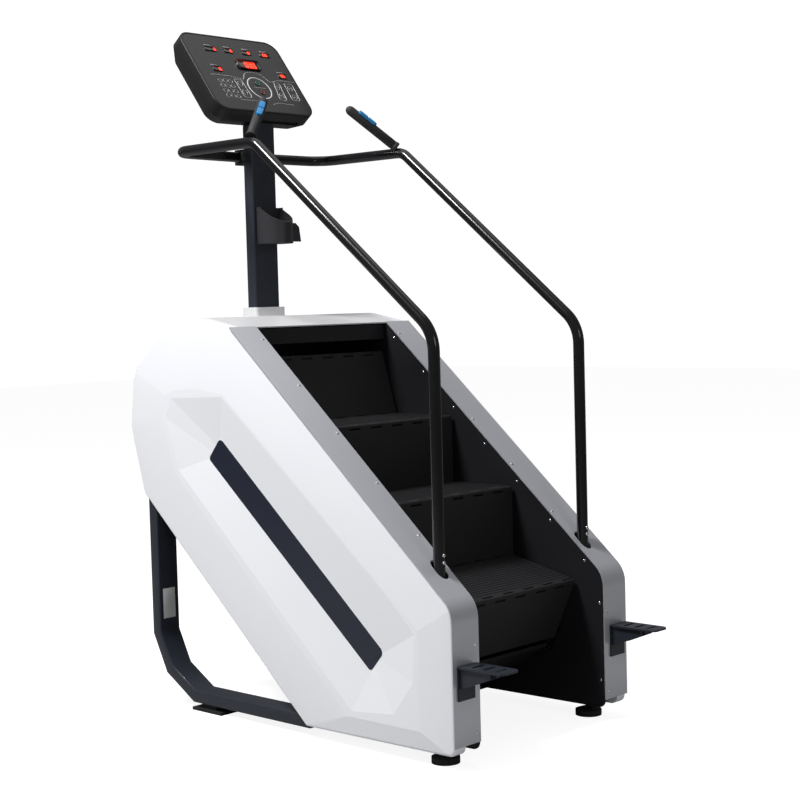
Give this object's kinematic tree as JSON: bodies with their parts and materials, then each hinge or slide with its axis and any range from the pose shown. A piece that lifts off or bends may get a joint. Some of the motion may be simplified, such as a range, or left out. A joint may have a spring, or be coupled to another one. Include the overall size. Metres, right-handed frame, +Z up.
{
  "type": "stair climber",
  "caption": "Stepmill with a belt of hinged stairs between white side housings, black handrails with a rear hoop, and a leaning console on a mast.",
  "frame": {"origin": "on the floor, at the middle of the machine's width and of its length", "axes": "+X to the climber's right, +Y the way the climber faces, +Z up"},
  "size_m": [0.769, 1.4555, 2.0624],
  "materials": {
    "cover_white": "gloss moulded shell",
    "trim_silver": "metallic silver paint",
    "panel_black": "satin black powder coat",
    "step_charcoal": "ribbed moulded plastic",
    "frame_black": "fine textured black powder coat",
    "rail_black": "gloss black powder coat",
    "grip_rubber": "soft matte grip",
    "button_blue": "satin blue",
    "console_black": "textured moulded housing",
    "console_overlay": "printed overlay film",
    "key_green": "start key",
    "key_red": "stop key",
    "holder_black": "satin moulded",
    "steel_bright": "machined steel",
    "steel_chain": "oiled chain steel",
    "screw_zinc": "bright zinc plate",
    "motor_grey": "grey enamel",
    "belt_rubber": "ribbed drive belt",
    "foot_rubber": "foot rubber",
    "pulley_alloy": "turned alloy"
  },
  "bodies": {
    "machine": {"left_side_cover": "cover_white", "right_side_cover": "cover_white", "top_cover": "trim_silver", "mast_collar": "trim_silver", "left_trim": "trim_silver", "right_trim": "trim_silver", "left_inner_panel": "panel_black", "right_inner_panel": "panel_black", "rear_cover": "panel_black", "belly_pan": "panel_black", "header_panel": "panel_black", "left_frame_plate": "frame_black", "right_frame_plate": "frame_black", "cross_tubes": "frame_black", "rear_stand": "frame_black", "rear_foot_pads": "foot_rubber", "levelling_feet": "foot_rubber", "power_inlet": "console_black", "mast": "frame_black", "left_handrail": "rail_black", "right_handrail": "rail_black", "rear_hoop": "rail_black", "hoop_clamp": "holder_black", "left_grip": "grip_rubber", "right_grip": "grip_rubber", "console_housing": "console_black", "console_face": "console_overlay", "bottle_holder": "holder_black", "left_entry_step": "frame_black", "right_entry_step": "frame_black", "cover_screws": "screw_zinc", "shaft_bearings": "steel_bright", "brake_motor": "motor_grey", "drive_belt": "belt_rubber"},
    "climbing_steps": {"tread_1": "step_charcoal", "riser_1": "step_charcoal", "tread_2": "step_charcoal", "riser_2": "step_charcoal", "chain_climbing_run": "steel_chain"},
    "return_steps": {"return_treads": "step_charcoal", "return_risers": "step_charcoal", "chain_return_run": "steel_chain"},
    "lower_shaft": {"lower_sprocket_shaft": "steel_bright", "chain_lower_wrap": "steel_chain"},
    "upper_shaft": {"upper_sprocket_shaft": "steel_bright", "chain_upper_wrap": "steel_chain", "drive_pulley": "pulley_alloy"},
    "motor_rotor": {"motor_pulley": "pulley_alloy"},
    "start_key": {"start_key": "key_green"},
    "stop_key": {"stop_key": "key_red"},
    "left_rocker": {"left_speed_rocker": "button_blue"},
    "right_rocker": {"right_speed_rocker": "button_blue"},
    "tread_3_hinged": {"tread_3": "step_charcoal"},
    "riser_3_hinged": {"riser_3": "step_charcoal"},
    "tread_4_hinged": {"tread_4": "step_charcoal"},
    "riser_4_hinged": {"riser_4": "step_charcoal"},
    "tread_7_hinged": {"tread_7": "step_charcoal"},
    "riser_7_hinged": {"riser_7": "step_charcoal"},
    "tread_8_hinged": {"tread_8": "step_charcoal"},
    "riser_8_hinged": {"riser_8": "step_charcoal"}
  },
  "joints": [
    {"name": "stair_travel", "type": "slide", "parent": "machine", "child": "climbing_steps", "axis": [0, -0.7497, -0.6617], "range_m": [-0.05, 0.05]},
    {"name": "return_travel", "type": "slide", "parent": "machine", "child": "return_steps", "axis": [0, 0.7497, 0.6617], "range_m": [-0.0505, 0.0505]},
    {"name": "lower_shaft_turn", "type": "hinge", "parent": "machine", "child": "lower_shaft", "pos_m": [0, -0.30579, 0.2656], "axis": [1, 0, 0], "range_deg": [-29.68, 29.68]},
    {"name": "upper_shaft_turn", "type": "hinge", "parent": "machine", "child": "upper_shaft", "pos_m": [0, 0.38421, 0.8746], "axis": [1, 0, 0], "range_deg": [-29.68, 29.68]},
    {"name": "motor_turn", "type": "hinge", "parent": "machine", "child": "motor_rotor", "pos_m": [0, -0.11461, 0.43434], "axis": [1, 0, 0], "range_deg": [-120.43, 120.43]},
    {"name": "tread_3_hinge", "type": "hinge", "parent": "climbing_steps", "child": "tread_3_hinged", "pos_m": [0, -0.2467, 0.448], "axis": [1, 0, 0], "range_deg": [-8.92, 8.92]},
    {"name": "riser_3_hinge", "type": "hinge", "parent": "tread_3_hinged", "child": "riser_3_hinged", "pos_m": [0, -0.47046, 0.39479], "axis": [1, 0, 0], "range_deg": [-9.05, 9.05]},
    {"name": "riser_4_hinge", "type": "hinge", "parent": "return_steps", "child": "riser_4_hinged", "pos_m": [0, -0.13488, 0.28621], "axis": [1, 0, 0], "range_deg": [-9.14, 9.14]},
    {"name": "tread_4_hinge", "type": "hinge", "parent": "riser_4_hinged", "child": "tread_4_hinged", "pos_m": [0, -0.18958, 0.09072], "axis": [1, 0, 0], "range_deg": [-10.06, 10.06]},
    {"name": "tread_7_hinge", "type": "hinge", "parent": "return_steps", "child": "tread_7_hinged", "pos_m": [0, 0.32512, 0.69221], "axis": [1, 0, 0], "range_deg": [-8.92, 8.92]},
    {"name": "riser_7_hinge", "type": "hinge", "parent": "tread_7_hinged", "child": "riser_7_hinged", "pos_m": [0, 0.54888, 0.74541], "axis": [1, 0, 0], "range_deg": [-9.05, 9.05]},
    {"name": "riser_8_hinge", "type": "hinge", "parent": "climbing_steps", "child": "riser_8_hinged", "pos_m": [0, 0.2133, 0.854], "axis": [1, 0, 0], "range_deg": [-9.14, 9.14]},
    {"name": "tread_8_hinge", "type": "hinge", "parent": "riser_8_hinged", "child": "tread_8_hinged", "pos_m": [0, 0.268, 1.04949], "axis": [1, 0, 0], "range_deg": [-10.06, 10.06]},
    {"name": "start_key_press", "type": "slide", "parent": "machine", "child": "start_key", "axis": [0, 0.7986, -0.6018], "range_m": [0, 0.0008], "stiffness_N_per_m": 900},
    {"name": "stop_key_press", "type": "slide", "parent": "machine", "child": "stop_key", "axis": [0, 0.7986, -0.6018], "range_m": [0, 0.0008], "stiffness_N_per_m": 900},
    {"name": "left_rocker_tilt", "type": "hinge", "parent": "machine", "child": "left_rocker", "pos_m": [-0.22199, 0.25922, 1.77938], "axis": [0.7248, -0.5743, -0.3806], "range_deg": [-3, 3], "stiffness_Nm_per_rad": 0.6},
    {"name": "right_rocker_tilt", "type": "hinge", "parent": "machine", "child": "right_rocker", "pos_m": [0.22199, 0.25922, 1.77938], "axis": [0.7248, 0.5743, 0.3806], "range_deg": [-3, 3], "stiffness_Nm_per_rad": 0.6}
  ],
  "couplings": [
    {"joint": "return_travel", "follows": "stair_travel", "ratio": 1},
    {"joint": "lower_shaft_turn", "follows": "stair_travel", "rad_per_m": 10.241},
    {"joint": "upper_shaft_turn", "follows": "stair_travel", "rad_per_m": 10.241},
    {"joint": "motor_turn", "follows": "stair_travel", "rad_per_m": 41.603},
    {"joint": "tread_3_hinge", "follows": "stair_travel", "rad_per_m": 3.0654},
    {"joint": "riser_3_hinge", "follows": "stair_travel", "rad_per_m": 3.1092},
    {"joint": "riser_4_hinge", "follows": "stair_travel", "rad_per_m": 3.1428},
    {"joint": "tread_4_hinge", "follows": "stair_travel", "rad_per_m": 3.4582},
    {"joint": "tread_7_hinge", "follows": "stair_travel", "rad_per_m": 3.0654},
    {"joint": "riser_7_hinge", "follows": "stair_travel", "rad_per_m": 3.1092},
    {"joint": "riser_8_hinge", "follows": "stair_travel", "rad_per_m": 3.1428},
    {"joint": "tread_8_hinge", "follows": "stair_travel", "rad_per_m": 3.4582}
  ]
}
